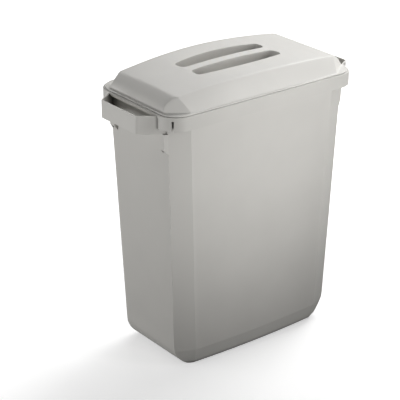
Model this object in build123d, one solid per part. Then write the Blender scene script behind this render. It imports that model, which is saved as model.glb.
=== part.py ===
from build123d import *
import math
import os

# Slim rectangular waste bin with end handles and a lift-off lid.
# Millimetres, +Z up, X along the long side, origin under the middle of the foot.

# ---- driving dimensions: tub ----
rim_height = 620.0          # floor to the top of the rim
foot_length = 437.2         # outer walls, produced down to the floor
foot_width = 219.6
mouth_length = 487.6        # outer walls, produced up to the rim
mouth_width = 251.4
facet_along = 44.7          # flat corner facet, measured along the long wall
facet_across = 20.9         # and along the end wall
wall_bow = 6.0              # outward bow of a long wall at the foot
mouth_bow = 0.6             # and just under the rim
wall = 2.3
band_height = 44.0          # band along the foot that leans in on the long walls and facets
band_lean = 9.0             # how far it has leaned in where it meets the floor
end_foot_radius = 62.0      # big rounding from an end wall into the floor
side_foot_radius = 20.0     # rounding from a long wall into the floor
floor_thickness = 3.0
floor_recess = 3.0          # the middle of the floor is raised, which leaves a level ring
recess_length = 286.0
recess_width = 132.0
recess_radius = 20.0

# ---- driving dimensions: rim ----
rim_length = 516.0
rim_width = 282.0
rim_corner_radius = 46.0
rim_edge_radius = 2.0
rim_plate = 3.0
skirt_depth = 31.0
skirt_wall = 3.0
end_lip_depth = 8.0         # the skirt is cut short between the roots of each handle
end_cut_half_width = 91.0
slot_width = 5.0            # slit in each corner of the skirt that grips a bag
slot_height = 23.0
slot_angle = 42.0           # place on the corner arc, from the bin's long axis

# ---- driving dimensions: handles ----
handle_reach = 295.0        # outer face of the strap from the middle of the bin
strap_top = 616.6
strap_bottom = 576.0
strap_half_width = 64.0     # the strap turns back towards the tub here
root_half_width = 97.5      # and meets the end wall here
strap_wall = 3.0
strap_bend_radius = 9.0

# ---- driving dimensions: stacking lugs ----
lug_inner_edge = 82.0       # the outer edge lies in the plane of the corner facet
lug_bottom = 528.0
lug_proud = 8.0             # how far the lug stands off the end wall
lug_root = 3.0              # how far it is carried into the end wall before that is cut away
lug_taper = 11.0            # height of the sloping lower end
lug_wall = 2.5

# ---- driving dimensions: lid ----
flange_length = 510.0
flange_width = 276.0
flange_radius = 46.0
flange_thickness = 3.0
flange_edge_radius = 1.2
dome_base_half_length = 247.5
dome_base_half_width = 133.5
dome_base_bow = 0.5             # outward bow of a long side at the foot of the dome
dome_crease_half_length = 219.0 # edge of the top, at its ends
dome_crease_rise = 30.6         # and its height above the flange
dome_end_power = 2.2            # an end rises steeply, then rolls over towards the crease
dome_end_levels = (0.0, 0.3, 0.6, 0.8, 0.92, 1.0)
dome_end_radius = 25.0          # rounding of the crease at an end
dome_side_rise = 50.0           # a long side is straight from the foot to this height
dome_middle_slope = 0.41        # inward run over rise of a long side, mid length
dome_corner_slope = 0.97        # and at its corners
dome_facet_along = 45.0         # corner facet at the foot of the dome, along the long side
dome_facet_across = 34.0        # and along the end
dome_facet_slope = 0.5          # inward run over rise of a facet
dome_edge_radius = 5.0          # rounding of the facets' edges and the long creases
dome_foot_radius = 3.5          # hollow rounding from the dome into the flange
dome_peak = 667.5               # middle of the top
arch_drop = 13.5                # fall of the top from the middle to its ends
crown_drop = 1.8                # fall of the top from the middle to its long edges
lid_wall = 2.2
dome_wall_factor = 1.2          # level thickness of a sloping side over its true thickness
rib_depth = 14.0                # locating ribs reach this far down into the mouth
rib_clearance = 1.5
rib_thickness = 3.0
rib_tip_width = 9.0
rib_root_width = 16.0
rib_root_height = 12.0          # above the flange
long_side_ribs = (-130.0, 0.0, 130.0)
end_ribs = (-50.0, 50.0)
pocket_inner_edge = 11.5        # half the width of the grip bar
pocket_outer_edge = 57.5
pocket_end_edge = 45.0
pocket_half_length = 116.5
pocket_floor = 636.0
pocket_draft = 0.15             # inward run over fall of the pocket walls
pocket_inner_radius = 14.0
pocket_outer_radius = 10.0

# ---- worked out ----
plate_underside = rim_height - rim_plate
flange_top = rim_height + flange_thickness

os.makedirs("parts", exist_ok=True)


# ---- outlines ----
def faceted_outline(half_x, half_y, facet_x, facet_y, bow, z):
    """Level rectangle with a flat facet at each corner and long sides that bow outwards."""
    side_x = half_x - facet_x
    end_y = half_y - facet_y
    edges = []
    for side in (-1, 1):
        edges.append(ThreePointArc((side * side_x, side * half_y, z),
                                   (0, side * (half_y + bow), z),
                                   (-side * side_x, side * half_y, z)))
        edges.append(Line((-side * side_x, side * half_y, z),
                          (-side * half_x, side * end_y, z)))
        edges.append(Line((-side * half_x, side * end_y, z),
                          (-side * half_x, -side * end_y, z)))
        edges.append(Line((-side * half_x, -side * end_y, z),
                          (-side * side_x, -side * half_y, z)))
    return Face(Wire(edges))


def tub_half_length(z):
    """From the middle to the outside of an end wall at height z."""
    return (foot_length + (mouth_length - foot_length) * z / rim_height) / 2


def tub_half_width(z):
    """From the middle to the corner of a long wall at height z, above the foot band."""
    return (foot_width + (mouth_width - foot_width) * z / rim_height) / 2


def tub_outline(z, inset):
    """The tub's outer walls at height z, moved inwards by inset on every side."""
    lean = band_lean * max(0.0, 1 - z / band_height)
    bow = wall_bow + (mouth_bow - wall_bow) * z / rim_height
    facet = math.hypot(facet_along, facet_across)
    along_gain = (facet - facet_along) / facet_across
    across_gain = (facet - facet_across) / facet_along
    facet_x = facet_along - inset * (1 - along_gain) + lean * along_gain
    facet_y = facet_across - inset * (1 - across_gain) + lean * (facet / facet_along - 1)
    return faceted_outline(tub_half_length(z) - inset, tub_half_width(z) - inset - lean,
                           facet_x, facet_y, bow, z)


def tub_solid(inset, low, high):
    """The space inside the tub's outer walls, moved inwards by inset."""
    levels = [low, band_height, high]
    walls = loft([tub_outline(z, inset) for z in levels], ruled=True)
    lowest = walls.faces().sort_by(Axis.Z)[0]
    walls = fillet(lowest.edges(), side_foot_radius - inset)
    low_x = tub_half_length(low) - inset
    high_x = tub_half_length(high) - inset
    elevation = make_face(Polyline((-low_x, low), (low_x, low), (high_x, high), (-high_x, high),
                                   close=True))
    corners = elevation.vertices().sort_by(Axis.Y)[:2]
    elevation = fillet(corners, end_foot_radius - inset)
    return walls & extrude(Plane.XZ * elevation, mouth_width, both=True)


def rounded_plate(length, width, radius, low, high):
    """Rounded rectangle between two heights."""
    return Pos(0, 0, low) * extrude(RectangleRounded(length, width, radius), high - low)


# ---- bin moulding ----
def make_tub():
    outside = tub_solid(0, 0, plate_underside)
    inside = tub_solid(wall, floor_thickness, plate_underside)
    raised_top = floor_recess + floor_thickness
    raised = rounded_plate(recess_length, recess_width, recess_radius, 0, raised_top)
    recess = rounded_plate(recess_length - 2 * wall, recess_width - 2 * wall,
                           recess_radius - wall, 0, floor_recess)
    return outside - inside + raised - recess


def make_rim():
    skirt_bottom = rim_height - skirt_depth
    outside = rounded_plate(rim_length, rim_width, rim_corner_radius, skirt_bottom, rim_height)
    outside = fillet(outside.faces().sort_by(Axis.Z)[-1].edges(), rim_edge_radius)
    channel = rounded_plate(rim_length - 2 * skirt_wall, rim_width - 2 * skirt_wall,
                            rim_corner_radius - skirt_wall, skirt_bottom, plate_underside)
    mouth = loft([tub_outline(plate_underside, wall), tub_outline(rim_height, wall)], ruled=True)
    rim = outside - channel - mouth
    end_cut_height = skirt_depth - end_lip_depth
    for side in (-1, 1):
        rim -= Pos(side * rim_length / 2, 0, skirt_bottom + end_cut_height / 2) * Box(
            4 * skirt_wall, 2 * end_cut_half_width, end_cut_height)
    corner_x = rim_length / 2 - rim_corner_radius
    corner_y = rim_width / 2 - rim_corner_radius
    slit = Pos(rim_corner_radius, 0, skirt_bottom + slot_height / 2) * Box(
        4 * skirt_wall, slot_width, slot_height)
    for angle in (slot_angle, 180 - slot_angle, 180 + slot_angle, -slot_angle):
        side_x = math.copysign(corner_x, math.cos(math.radians(angle)))
        side_y = math.copysign(corner_y, math.sin(math.radians(angle)))
        rim -= Pos(side_x, side_y, 0) * Rot(0, 0, angle) * slit
    return rim


def strap_outline(offset):
    """Plan of one handle, from the middle of the bin to the strap's outer face less offset."""
    reach = handle_reach - offset
    root_x = mouth_length / 2 - skirt_wall
    slant = math.atan2(root_half_width - strap_half_width, handle_reach - mouth_length / 2)
    root_y = root_half_width + skirt_wall * math.tan(slant)
    bend_y = strap_half_width - offset * math.tan((math.pi / 2 - slant) / 2)
    back_y = root_y - offset / math.cos(slant)
    corners = [(root_x, -back_y), (reach, -bend_y), (reach, bend_y), (root_x, back_y)]
    face = make_face(Polyline(*corners, close=True))
    bends = face.vertices().sort_by(Axis.X)[-2:]
    return fillet(bends, strap_bend_radius - offset)


def make_handle(side, tub_body, rim):
    strap = extrude(strap_outline(0) - strap_outline(strap_wall), strap_top - strap_bottom)
    strap = Pos(0, 0, strap_bottom) * strap
    if side < 0:
        strap = Rot(0, 0, 180) * strap
    return strap - tub_body - rim


def lug_outline(z, inset):
    """Plan of one lug at height z, its outer side in the plane of the corner facet."""
    wall_x = tub_half_length(z)
    facet_slope = facet_across / facet_along
    corner_y = tub_half_width(z) - facet_across - inset * math.hypot(1, facet_slope)
    inner_y = lug_inner_edge + inset
    outer_x = wall_x + lug_proud - inset
    corners = [(wall_x - lug_root, inner_y, z),
               (outer_x, inner_y, z),
               (outer_x, corner_y - (lug_proud - inset) * facet_slope, z),
               (wall_x - lug_root, corner_y + lug_root * facet_slope, z)]
    return make_face(Polyline(*corners, close=True))


def make_lug(side_x, side_y, tub_body):
    """Hollow lug on the end wall, open underneath, that stops nested bins jamming."""
    block = loft([lug_outline(lug_bottom, 0), lug_outline(strap_bottom, 0)], ruled=True)
    hollow_top = strap_bottom - lug_wall
    block -= loft([lug_outline(lug_bottom, lug_wall), lug_outline(hollow_top, lug_wall)],
                  ruled=True)
    wall_x = tub_half_length(lug_bottom)
    under = [(wall_x - 2 * lug_root, lug_bottom), (wall_x, lug_bottom),
             (wall_x + lug_proud, lug_bottom + lug_taper),
             (wall_x + 2 * lug_proud, lug_bottom + lug_taper),
             (wall_x + 2 * lug_proud, lug_bottom - lug_taper),
             (wall_x - 2 * lug_root, lug_bottom - lug_taper)]
    lug = block - extrude(Plane.XZ * make_face(Polyline(*under, close=True)), -mouth_width)
    if side_y < 0:
        lug = mirror(lug, Plane.XZ)
    if side_x < 0:
        lug = mirror(lug, Plane.YZ)
    return lug - tub_body


# ---- lid moulding ----
def domed_top(drop):
    """Everything below the lid's top surface, which is lowered by drop."""
    peak = dome_peak - drop
    half_span = dome_base_half_width + drop
    below = rim_height - rib_depth
    crown_radius = (half_span ** 2 + crown_drop ** 2) / (2 * crown_drop)
    edge_z = peak - crown_drop
    section = make_face([
        ThreePointArc((0, -half_span, edge_z), (0, 0, peak), (0, half_span, edge_z)),
        Line((0, half_span, edge_z), (0, half_span, below)),
        Line((0, half_span, below), (0, -half_span, below)),
        Line((0, -half_span, below), (0, -half_span, edge_z))])
    arch_radius = (dome_crease_half_length ** 2 + arch_drop ** 2) / (2 * arch_drop)
    centre = Axis((0, 0, dome_peak - arch_radius), (0, 1, 0))
    half_turn = math.degrees(math.asin(dome_base_half_length * 1.1 / arch_radius))
    return revolve(section.rotate(centre, -half_turn), centre, 2 * half_turn)


def end_profile(inset):
    """The space between the dome's two ends, which curve from a steep foot to the crease."""
    overhang = dome_base_half_length - dome_crease_half_length
    points = [(dome_crease_half_length - inset + overhang * (1 - level ** dome_end_power),
               flange_top + level * dome_crease_rise) for level in dome_end_levels]
    last_slope = dome_crease_rise / (overhang * dome_end_power)
    end = Spline(*points, tangents=((0, 1), (-1, last_slope)))
    run_on = dome_crease_half_length / 3
    top = (points[-1][0] - run_on, points[-1][1] + run_on * last_slope)
    half = [end, Line(points[-1], top)]
    other_half = [edge.mirror(Plane.YZ) for edge in half]
    elevation = make_face([*half, *other_half, Line(top, (-top[0], top[1])),
                           Line(points[0], (-points[0][0], points[0][1]))])
    return extrude(Plane.XZ * elevation, dome_base_half_width * 1.1, both=True)


def side_outline(rise, inset):
    """Plan of the dome's long sides and corner facets, at a rise above the flange."""
    beyond_x = dome_base_half_length * 1.02 - inset
    middle_y = dome_base_half_width - rise * dome_middle_slope - inset
    foot_y = dome_base_half_width - dome_base_bow
    corner_y = foot_y - rise * dome_corner_slope - inset
    facet = math.hypot(dome_facet_along, dome_facet_across)
    lean_x = dome_facet_across / facet
    lean_y = dome_facet_along / facet
    reach = (dome_base_half_length * lean_x + (foot_y - dome_facet_across) * lean_y
             - inset - rise * dome_facet_slope)
    side_x = (reach - corner_y * lean_y) / lean_x
    end_y = (reach - beyond_x * lean_x) / lean_y
    edges = []
    for side in (-1, 1):
        edges.append(ThreePointArc((-side * side_x, side * corner_y, 0),
                                   (0, side * middle_y, 0),
                                   (side * side_x, side * corner_y, 0)))
        edges.append(Line((side * side_x, side * corner_y, 0),
                          (side * beyond_x, side * end_y, 0)))
        edges.append(Line((side * beyond_x, side * end_y, 0),
                          (side * beyond_x, -side * end_y, 0)))
        edges.append(Line((side * beyond_x, -side * end_y, 0),
                          (side * side_x, -side * corner_y, 0)))
    return Pos(0, 0, flange_top + rise) * Face(Wire(edges))


def dome_solid(inset, drop):
    """The space under the dome's surface, above the flange."""
    core = domed_top(drop) & end_profile(inset)
    creases = [edge for edge in core.edges()
               if abs(edge.center().X) > dome_crease_half_length * 0.97
               and edge.center().Z > flange_top + dome_crease_rise * 0.95 - drop]
    sides = loft([side_outline(0, inset), side_outline(dome_side_rise, inset)], ruled=True)
    return fillet(creases, dome_end_radius - inset) & sides


def pocket_outline(grow, z):
    """Plan of one finger pocket at height z, straight along the grip bar."""
    depth = (dome_peak - z) * pocket_draft
    half_length = pocket_half_length + grow - depth
    inner = pocket_inner_edge - grow + depth
    outer = pocket_outer_edge + grow - depth
    end = pocket_end_edge + grow - depth
    face = Face(Wire([
        Line((-half_length, inner, 0), (half_length, inner, 0)),
        Line((half_length, inner, 0), (half_length, end, 0)),
        ThreePointArc((half_length, end, 0), (0, outer, 0), (-half_length, end, 0)),
        Line((-half_length, end, 0), (-half_length, inner, 0))]))
    inner_corners = face.vertices().sort_by(Axis.Y)[:2]
    face = fillet(inner_corners, pocket_inner_radius)
    outer_corners = face.vertices().sort_by(Axis.Y)[-2:]
    return Pos(0, 0, z) * fillet(outer_corners, pocket_outer_radius)


def pocket_solid(side, grow):
    """One finger pocket, or the plastic round it when grow is the wall."""
    top = pocket_outline(grow, dome_peak + flange_thickness)
    bottom = pocket_outline(grow, pocket_floor - grow)
    pocket = loft([bottom, top], ruled=True)
    return pocket if side > 0 else mirror(pocket, Plane.XZ)


def make_lid():
    """The lid's cover, finger pockets and grip bar, and the hollow under the dome."""
    outer_dome = dome_solid(0, 0)
    edges = [edge for edge in outer_dome.edges()
             if abs(edge.center().Y) > dome_base_half_width * 0.67
             and edge.center().Z > flange_top + dome_foot_radius / 2]
    outer_dome = fillet(edges, dome_edge_radius)
    inner_dome = dome_solid(lid_wall * dome_wall_factor, lid_wall)
    flange = rounded_plate(flange_length, flange_width, flange_radius, rim_height, flange_top)
    flange = fillet(flange.faces().sort_by(Axis.Z)[-1].edges(), flange_edge_radius)
    opening = extrude(inner_dome.faces().sort_by(Axis.Z)[0], flange_thickness, dir=(0, 0, -1))
    cavity = inner_dome + opening
    shell = outer_dome + flange
    foot = [edge for edge in shell.edges()
            if abs(edge.center().Z - flange_top) < flange_edge_radius / 2
            and abs(edge.center().X) < dome_base_half_length + flange_edge_radius
            and abs(edge.center().Y) < dome_base_half_width + flange_edge_radius]
    cover = fillet(foot, dome_foot_radius) - cavity
    bar_width = 2 * (pocket_inner_edge - lid_wall)
    bar_room = Pos(0, 0, dome_peak) * Box(2 * pocket_half_length, bar_width, 2 * arch_drop)
    pieces = {"lid_grip_bar": cover & bar_room}
    cover -= bar_room
    for side, place in ((-1, "front"), (1, "back")):
        bowl = pocket_solid(side, lid_wall) & outer_dome
        cover -= bowl
        pieces["lid_finger_pocket_" + place] = bowl - pocket_solid(side, 0)
    pieces["lid_cover"] = cover
    return pieces, cavity


def locating_rib(mouth_edge, dome_edge):
    """One rib in the XZ plane, reaching from inside the dome down past the mouth's edge at +X."""
    tip_outer = mouth_edge - rib_clearance
    seat_z = rim_height + rib_clearance / 3
    root_z = flange_top + rib_root_height
    profile = [(tip_outer, rim_height - rib_depth), (tip_outer, seat_z), (dome_edge, seat_z),
               (dome_edge, root_z), (tip_outer - rib_root_width, root_z),
               (tip_outer - rib_tip_width, rim_height - rib_depth)]
    return extrude(Plane.XZ * make_face(Polyline(*profile, close=True)), rib_thickness / 2,
                   both=True)


def make_lid_ribs(cavity):
    """Ribs on the inner wall of the dome that keep the lid central on the mouth."""
    throat = Pos(0, 0, rim_height - rib_depth / 2) * Box(mouth_length, mouth_width, rib_depth)
    room = cavity + throat
    mouth_x = mouth_length / 2 - wall
    mouth_y = mouth_width / 2 - wall
    ribs = []
    for turn in (0, 180):
        for place in end_ribs:
            rib = Pos(0, place, 0) * locating_rib(mouth_x, dome_base_half_length)
            ribs.append(Rot(0, 0, turn) * rib)
    for turn in (90, -90):
        for place in long_side_ribs:
            rib = Pos(0, place, 0) * locating_rib(mouth_y, dome_base_half_width)
            ribs.append(Rot(0, 0, turn) * rib)
    return Compound([(rib & room).solid() for rib in ribs])


# ---- write the nodes ----
tub_body = tub_solid(0, 0, plate_underside)
rim = make_rim()
pieces = {"bin_tub": make_tub(), "bin_rim": rim}
for side, end in ((-1, "left"), (1, "right")):
    pieces["grip_handle_" + end] = make_handle(side, tub_body, rim)
    for side_y, place in ((-1, "front"), (1, "back")):
        pieces["stacking_lug_" + end + "_" + place] = make_lug(side, side_y, tub_body)
lid_pieces, lid_cavity = make_lid()
pieces.update(lid_pieces)
pieces["lid_locating_ribs"] = make_lid_ribs(lid_cavity)

for name, piece in pieces.items():
    export_step(piece, "parts/" + name + ".step")
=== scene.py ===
import math

import bmesh
import bpy
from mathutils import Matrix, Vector


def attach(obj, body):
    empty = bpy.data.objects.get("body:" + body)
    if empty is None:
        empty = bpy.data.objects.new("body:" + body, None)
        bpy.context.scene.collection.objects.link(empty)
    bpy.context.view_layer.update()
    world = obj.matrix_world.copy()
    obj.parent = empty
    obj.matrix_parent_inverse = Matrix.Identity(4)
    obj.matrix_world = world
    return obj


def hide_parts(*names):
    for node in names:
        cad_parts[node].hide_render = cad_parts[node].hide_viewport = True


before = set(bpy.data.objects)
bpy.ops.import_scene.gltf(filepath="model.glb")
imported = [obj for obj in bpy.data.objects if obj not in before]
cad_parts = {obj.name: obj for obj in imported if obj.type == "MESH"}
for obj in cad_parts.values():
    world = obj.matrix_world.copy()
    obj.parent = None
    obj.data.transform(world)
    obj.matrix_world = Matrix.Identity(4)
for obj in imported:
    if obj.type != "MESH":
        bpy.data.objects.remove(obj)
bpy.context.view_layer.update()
scene = bpy.context.scene

# ---- camera: degrees, metres, and millimetres of lens ----
VIEW_AZIMUTH = -37.77
VIEW_ELEVATION = 24.16
VIEW_DISTANCE = 3.461
VIEW_LENS = 136.5
AIM_SIDEWAYS = -0.0614
AIM_HEIGHT = 0.3243
CLIP_START = 0.05
CLIP_END = 60.0

# ---- studio ----
FLOOR_HALF = 60.0
FLOOR_COLOUR = (0.80, 0.80, 0.80, 1.0)
GLOW_NEAR = 0.52            # glow of the floor around the bin, kept low there to paint a shadow around it
GLOW_FAR = 0.95             # and of the rest of it
GLOW_START = 0.45           # metres from the middle of the bin
GLOW_END = 1.6              # the glow rises from one to the other between these
SKY_STRENGTH = 0.115
SOFT_LIGHTS = (
    # name, place, aim, width, depth, watts
    ("high_right", (0.9, 0.3, 1.7), (0.0, 0.0, 0.5), 1.0, 1.0, 7.8),
    ("far_right", (2.3, 0.5, 2.1), (0.0, 0.0, 0.5), 1.3, 1.3, 36.0),
    ("high_back", (0.9, 1.0, 1.9), (0.0, 0.0, 0.6), 1.6, 0.8, 12.0),
    ("back_left", (-1.6, 0.9, 0.3), (0.0, 0.0, 0.35), 0.9, 0.5, 10.2),
)
LAMP_RADIUS = 0.25
ROUND_LAMPS = (
    # name, place, aim, cone in degrees, watts
    ("front", (0.2, -2.2, 0.6), (0.05, -0.12, 0.52), 34.0, 87.9),
    ("right_middle", (1.0, -1.9, 0.9), (0.02, -0.12, 0.56), 36.0, 18.0),
    ("right_high", (1.0, -1.9, 1.4), (0.02, -0.12, 0.50), 36.0, 26.0),
    ("right_rim", (1.0, -1.9, 0.7), (0.02, -0.12, 0.66), 30.0, 31.6),
    ("left", (-2.0, -0.3, 0.9), (-0.24, 0.0, 0.50), 36.0, 31.0),
)

# ---- plastic: metres and shares ----
BIN_COLOUR = (0.62, 0.607, 0.575)
LID_COLOUR = (0.68, 0.668, 0.638)
SPECULAR = 0.4
GRAIN_SIZE = 0.0011         # spark-eroded texture of the mould
GRAIN_DETAIL = 3.0
GRAIN_DEPTH = 0.00003
GRAIN_STRENGTH = 0.5
FLOW_SIZE = 0.12            # slow change of tone across a large moulding
FLOW_DETAIL = 2.0
FLOW_RANGE = (0.3, 0.7)
FLOW_SHADES = (0.975, 1.015)
WEAR_RANGE = (0.52, 0.60)   # how far an edge stands out before it looks worn
WEAR_SHADE = 1.06
SCUFF_SIZE = 0.035
SCUFF_DETAIL = 6.0
SCUFF_RANGE = (0.45, 0.75)
CLEAN_ROUGHNESS = 0.50
SCUFFED_ROUGHNESS = 0.42

# ---- shade painted into hollows and gaps between parts: metres and shares ----
SHADE_PAINT_REACH = 0.040          # how far a hollow is looked into
SHADE_PAINT_RAYS = 8
SHADE_PAINT_RANGE = (0.06, 0.60)
PAINTED_SHADE_COLOUR = (0.10, 0.097, 0.094, 1.0)

# ---- edges softened in the mould: degrees and metres ----
SHARP_ANGLE = 28.0
FLAT_ANGLE = 0.5            # triangles that agree within this are joined into one face
WELD_DISTANCE = 0.00002
EDGE_SEGMENTS = 3
WHOLE_HEIGHT = 1.0
LID_SEAT = 0.6205           # just above the lower face of the lid's flange
SOFT_EDGES = (
    # node, width, rounded below this height
    ("bin_rim", 0.0007, WHOLE_HEIGHT),
    ("grip_handle_left", 0.0007, WHOLE_HEIGHT),
    ("grip_handle_right", 0.0007, WHOLE_HEIGHT),
    ("lid_cover", 0.0012, LID_SEAT),
)


def make_camera():
    azimuth = math.radians(VIEW_AZIMUTH)
    elevation = math.radians(VIEW_ELEVATION)
    back = Vector((math.sin(azimuth) * math.cos(elevation),
                   -math.cos(azimuth) * math.cos(elevation),
                   math.sin(elevation)))
    sideways = Vector((math.cos(azimuth), math.sin(azimuth), 0.0))
    aim = sideways * AIM_SIDEWAYS + Vector((0.0, 0.0, AIM_HEIGHT))
    camera = bpy.data.objects.new("camera", bpy.data.cameras.new("camera"))
    camera.data.lens = VIEW_LENS
    camera.data.clip_start = CLIP_START
    camera.data.clip_end = CLIP_END
    camera.location = aim + back * VIEW_DISTANCE
    camera.rotation_euler = (-back).to_track_quat("-Z", "Y").to_euler()
    scene.collection.objects.link(camera)
    scene.camera = camera


def place_light(data, place, aim):
    light = bpy.data.objects.new(data.name, data)
    light.location = place
    light.rotation_euler = (Vector(aim) - Vector(place)).to_track_quat("-Z", "Y").to_euler()
    scene.collection.objects.link(light)
    return light


def area_light(name, place, aim, width, depth, power):
    data = bpy.data.lights.new(name, "AREA")
    data.shape = "RECTANGLE"
    data.size = width
    data.size_y = depth
    data.energy = power
    return place_light(data, place, aim)


def round_lamp(name, place, aim, cone, power):
    """A soft lamp whose light fades out towards the edge of its cone."""
    data = bpy.data.lights.new(name, "SPOT")
    data.energy = power
    data.spot_size = math.radians(cone)
    data.spot_blend = 1.0
    data.shadow_soft_size = LAMP_RADIUS
    return place_light(data, place, aim)


def make_floor():
    mesh = bpy.data.meshes.new("floor")
    mesh.from_pydata([(-FLOOR_HALF, -FLOOR_HALF, 0), (FLOOR_HALF, -FLOOR_HALF, 0),
                      (FLOOR_HALF, FLOOR_HALF, 0), (-FLOOR_HALF, FLOOR_HALF, 0)],
                     [], [(0, 1, 2, 3)])
    floor = bpy.data.objects.new("floor", mesh)
    scene.collection.objects.link(floor)
    material = bpy.data.materials.new("floor")
    material.use_nodes = True
    shader = material.node_tree.nodes["Principled BSDF"]
    shader.inputs["Base Color"].default_value = FLOOR_COLOUR
    shader.inputs["Roughness"].default_value = 1.0
    shader.inputs["Specular IOR Level"].default_value = 0.0
    shader.inputs["Emission Color"].default_value = (1.0, 1.0, 1.0, 1.0)
    nodes = material.node_tree.nodes
    links = material.node_tree.links
    place = nodes.new("ShaderNodeNewGeometry")
    distance = nodes.new("ShaderNodeVectorMath")
    distance.operation = "LENGTH"
    links.new(place.outputs["Position"], distance.inputs[0])
    # painted shadow: the floor glows less near the bin, which darkens the floor around it
    glow = nodes.new("ShaderNodeMapRange")
    glow.inputs["From Min"].default_value = GLOW_START
    glow.inputs["From Max"].default_value = GLOW_END
    glow.inputs["To Min"].default_value = GLOW_NEAR
    glow.inputs["To Max"].default_value = GLOW_FAR
    links.new(distance.outputs["Value"], glow.inputs["Value"])
    links.new(glow.outputs["Result"], shader.inputs["Emission Strength"])
    mesh.materials.append(material)
    floor.visible_diffuse = False
    floor.visible_glossy = False


def make_studio():
    make_floor()
    world = bpy.data.worlds.new("studio")
    world.use_nodes = True
    world.node_tree.nodes["Background"].inputs["Color"].default_value = (1.0, 1.0, 1.0, 1.0)
    world.node_tree.nodes["Background"].inputs["Strength"].default_value = SKY_STRENGTH
    scene.world = world
    for light in SOFT_LIGHTS:
        area_light(*light)
    for lamp in ROUND_LAMPS:
        round_lamp(*lamp)
    scene.view_settings.view_transform = "Standard"


def grey(value):
    return (value, value, value, 1.0)


def colour_socket(sockets, name):
    """A Mix node has sockets of the same name for numbers, vectors and colours."""
    return next(socket for socket in sockets if socket.name == name and socket.type == "RGBA")


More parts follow.
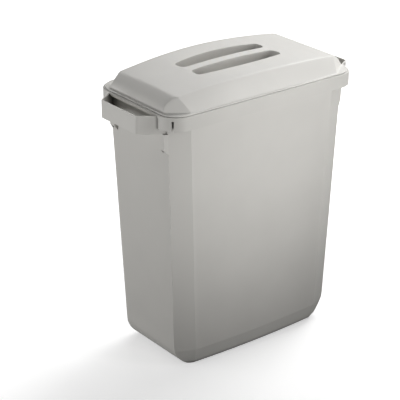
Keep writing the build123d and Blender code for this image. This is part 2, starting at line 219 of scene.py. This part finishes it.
def plastic(name, colour):
    """Injection-moulded plastic: mould grain, tone drift, scuffs, worn edges, and shade painted
    into hollows and gaps.
    """
    material = bpy.data.materials.new(name)
    material.use_nodes = True
    nodes = material.node_tree.nodes
    links = material.node_tree.links
    shader = nodes["Principled BSDF"]
    shader.inputs["Specular IOR Level"].default_value = SPECULAR
    place = nodes.new("ShaderNodeNewGeometry")

    def noise(size, detail):
        node = nodes.new("ShaderNodeTexNoise")
        node.inputs["Scale"].default_value = 1.0 / size
        node.inputs["Detail"].default_value = detail
        links.new(place.outputs["Position"], node.inputs["Vector"])
        return node.outputs["Fac"]

    def ramp(source, span, from_colour, to_colour):
        node = nodes.new("ShaderNodeValToRGB")
        for element, position, tone in zip(node.color_ramp.elements, span,
                                           (from_colour, to_colour)):
            element.position = position
            element.color = tone
        links.new(source, node.inputs["Fac"])
        return node.outputs["Color"]

    def shade(factor):
        return (colour[0] * factor, colour[1] * factor, colour[2] * factor, 1.0)

    flow = ramp(noise(FLOW_SIZE, FLOW_DETAIL), FLOW_RANGE,
                shade(FLOW_SHADES[0]), shade(FLOW_SHADES[1]))
    wear = ramp(place.outputs["Pointiness"], WEAR_RANGE, grey(0.0), grey(1.0))
    mix = nodes.new("ShaderNodeMix")
    mix.data_type = "RGBA"
    colour_socket(mix.inputs, "B").default_value = shade(WEAR_SHADE)
    links.new(wear, mix.inputs["Factor"])
    links.new(flow, colour_socket(mix.inputs, "A"))

    # painted shade: ambient occlusion darkens the colour in hollows, creases and the gaps
    # between parts
    occlusion = nodes.new("ShaderNodeAmbientOcclusion")
    occlusion.inputs["Distance"].default_value = SHADE_PAINT_REACH
    occlusion.samples = SHADE_PAINT_RAYS
    painted_shade = ramp(occlusion.outputs["AO"], SHADE_PAINT_RANGE, PAINTED_SHADE_COLOUR, grey(1.0))
    colour_with_painted_shade = nodes.new("ShaderNodeVectorMath")
    colour_with_painted_shade.operation = "MULTIPLY"
    links.new(colour_socket(mix.outputs, "Result"), colour_with_painted_shade.inputs[0])
    links.new(painted_shade, colour_with_painted_shade.inputs[1])
    links.new(colour_with_painted_shade.outputs["Vector"], shader.inputs["Base Color"])

    scuffs = ramp(noise(SCUFF_SIZE, SCUFF_DETAIL), SCUFF_RANGE,
                  grey(CLEAN_ROUGHNESS), grey(SCUFFED_ROUGHNESS))
    links.new(scuffs, shader.inputs["Roughness"])
    bump = nodes.new("ShaderNodeBump")
    bump.inputs["Strength"].default_value = GRAIN_STRENGTH
    bump.inputs["Distance"].default_value = GRAIN_DEPTH
    links.new(noise(GRAIN_SIZE, GRAIN_DETAIL), bump.inputs["Height"])
    links.new(bump.outputs["Normal"], shader.inputs["Normal"])
    return material


def softened(node_name, width, below, material):
    """A copy of a CAD node whose sharp edges lower than a height are rounded in the mould."""
    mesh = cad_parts[node_name].data.copy()
    mesh.name = node_name + "_moulding"
    work = bmesh.new()
    work.from_mesh(mesh)
    bmesh.ops.remove_doubles(work, verts=work.verts, dist=WELD_DISTANCE)
    bmesh.ops.dissolve_limit(work, angle_limit=math.radians(FLAT_ANGLE), verts=work.verts,
                             edges=work.edges)
    weight = work.edges.layers.float.new("bevel_weight_edge")
    for face in work.faces:
        face.smooth = True
    for edge in work.edges:
        sharp = edge.is_manifold and edge.calc_face_angle() > math.radians(SHARP_ANGLE)
        edge.smooth = not sharp
        low = all(vert.co.z < below for vert in edge.verts)
        edge[weight] = 1.0 if sharp and low else 0.0
    work.to_mesh(mesh)
    work.free()
    if "custom_normal" in mesh.attributes:
        mesh.attributes.remove(mesh.attributes["custom_normal"])
    piece = bpy.data.objects.new(mesh.name, mesh)
    scene.collection.objects.link(piece)
    bevel = piece.modifiers.new("edges", "BEVEL")
    bevel.width = width
    bevel.segments = EDGE_SEGMENTS
    bevel.limit_method = "WEIGHT"
    bevel.harden_normals = True
    bevel.miter_outer = "MITER_ARC"
    depsgraph = bpy.context.evaluated_depsgraph_get()
    rounded = bpy.data.meshes.new_from_object(piece.evaluated_get(depsgraph))
    piece.modifiers.clear()
    piece.data = rounded
    rounded.materials.clear()
    rounded.materials.append(material)
    return piece


BIN_PLASTIC = plastic("bin_plastic", BIN_COLOUR)
LID_PLASTIC = plastic("lid_plastic", LID_COLOUR)

for name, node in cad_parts.items():
    node.data.materials.clear()
    node.data.materials.append(LID_PLASTIC if name.startswith("lid") else BIN_PLASTIC)

for name, width, below in SOFT_EDGES:
    on_lid = name.startswith("lid")
    piece = softened(name, width, below, LID_PLASTIC if on_lid else BIN_PLASTIC)
    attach(piece, "lid" if on_lid else "bin")
    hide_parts(name)

make_camera()
make_studio()
